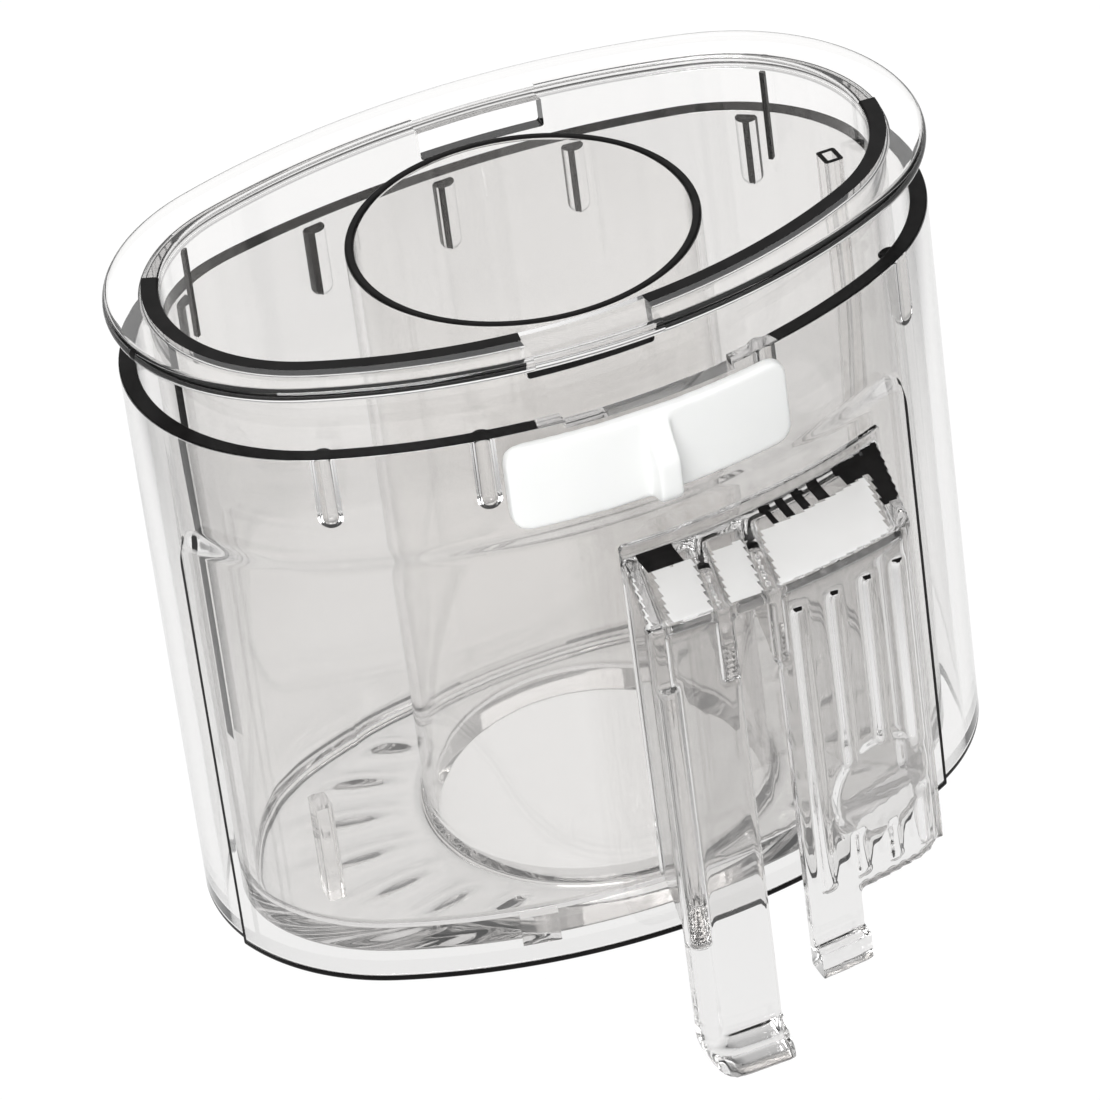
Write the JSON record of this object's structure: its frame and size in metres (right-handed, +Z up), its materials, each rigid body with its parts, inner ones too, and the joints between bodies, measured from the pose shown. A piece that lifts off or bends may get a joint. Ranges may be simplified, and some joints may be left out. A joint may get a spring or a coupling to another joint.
{
  "type": "food processor feed tube pusher and sleeve",
  "caption": "Clear oval pusher with an inner round feed tube, sliding in a clear sleeve with a white slide lock and a two-legged interlock arm.",
  "frame": {"origin": "middle of the sleeve's bottom opening, in the plane of its bottom edge", "axes": "+Z up the pusher's travel, +X along the oval's long axis, -Y towards the slide lock and the interlock arm"},
  "size_m": [0.1318, 0.108, 0.1222],
  "materials": {
    "clear_sleeve": "clear polished",
    "clear_pusher": "clear polished",
    "white_lock": "satin"
  },
  "bodies": {
    "sleeve": {"sleeve_shell": "clear_sleeve", "interlock_bracket": "clear_sleeve", "interlock_long_leg": "clear_sleeve", "interlock_panel": "clear_sleeve"},
    "slide_lock": {"lock_slider": "white_lock", "lock_retainer": "white_lock"},
    "pusher": {"pusher_shell": "clear_pusher", "pusher_floor": "clear_pusher", "feed_tube": "clear_pusher", "end_post": "clear_pusher", "corner_post": "clear_pusher"}
  },
  "joints": [
    {"name": "pusher_slide", "type": "slide", "parent": "sleeve", "child": "pusher", "axis": [0, 0, 1], "range_m": [-0.0098, 0.076]},
    {"name": "lock_slide", "type": "hinge", "parent": "sleeve", "child": "slide_lock", "pos_m": [0, 0.05827, 0.0893], "axis": [0, 0, 1], "range_deg": [0, 4.2]}
  ]
}
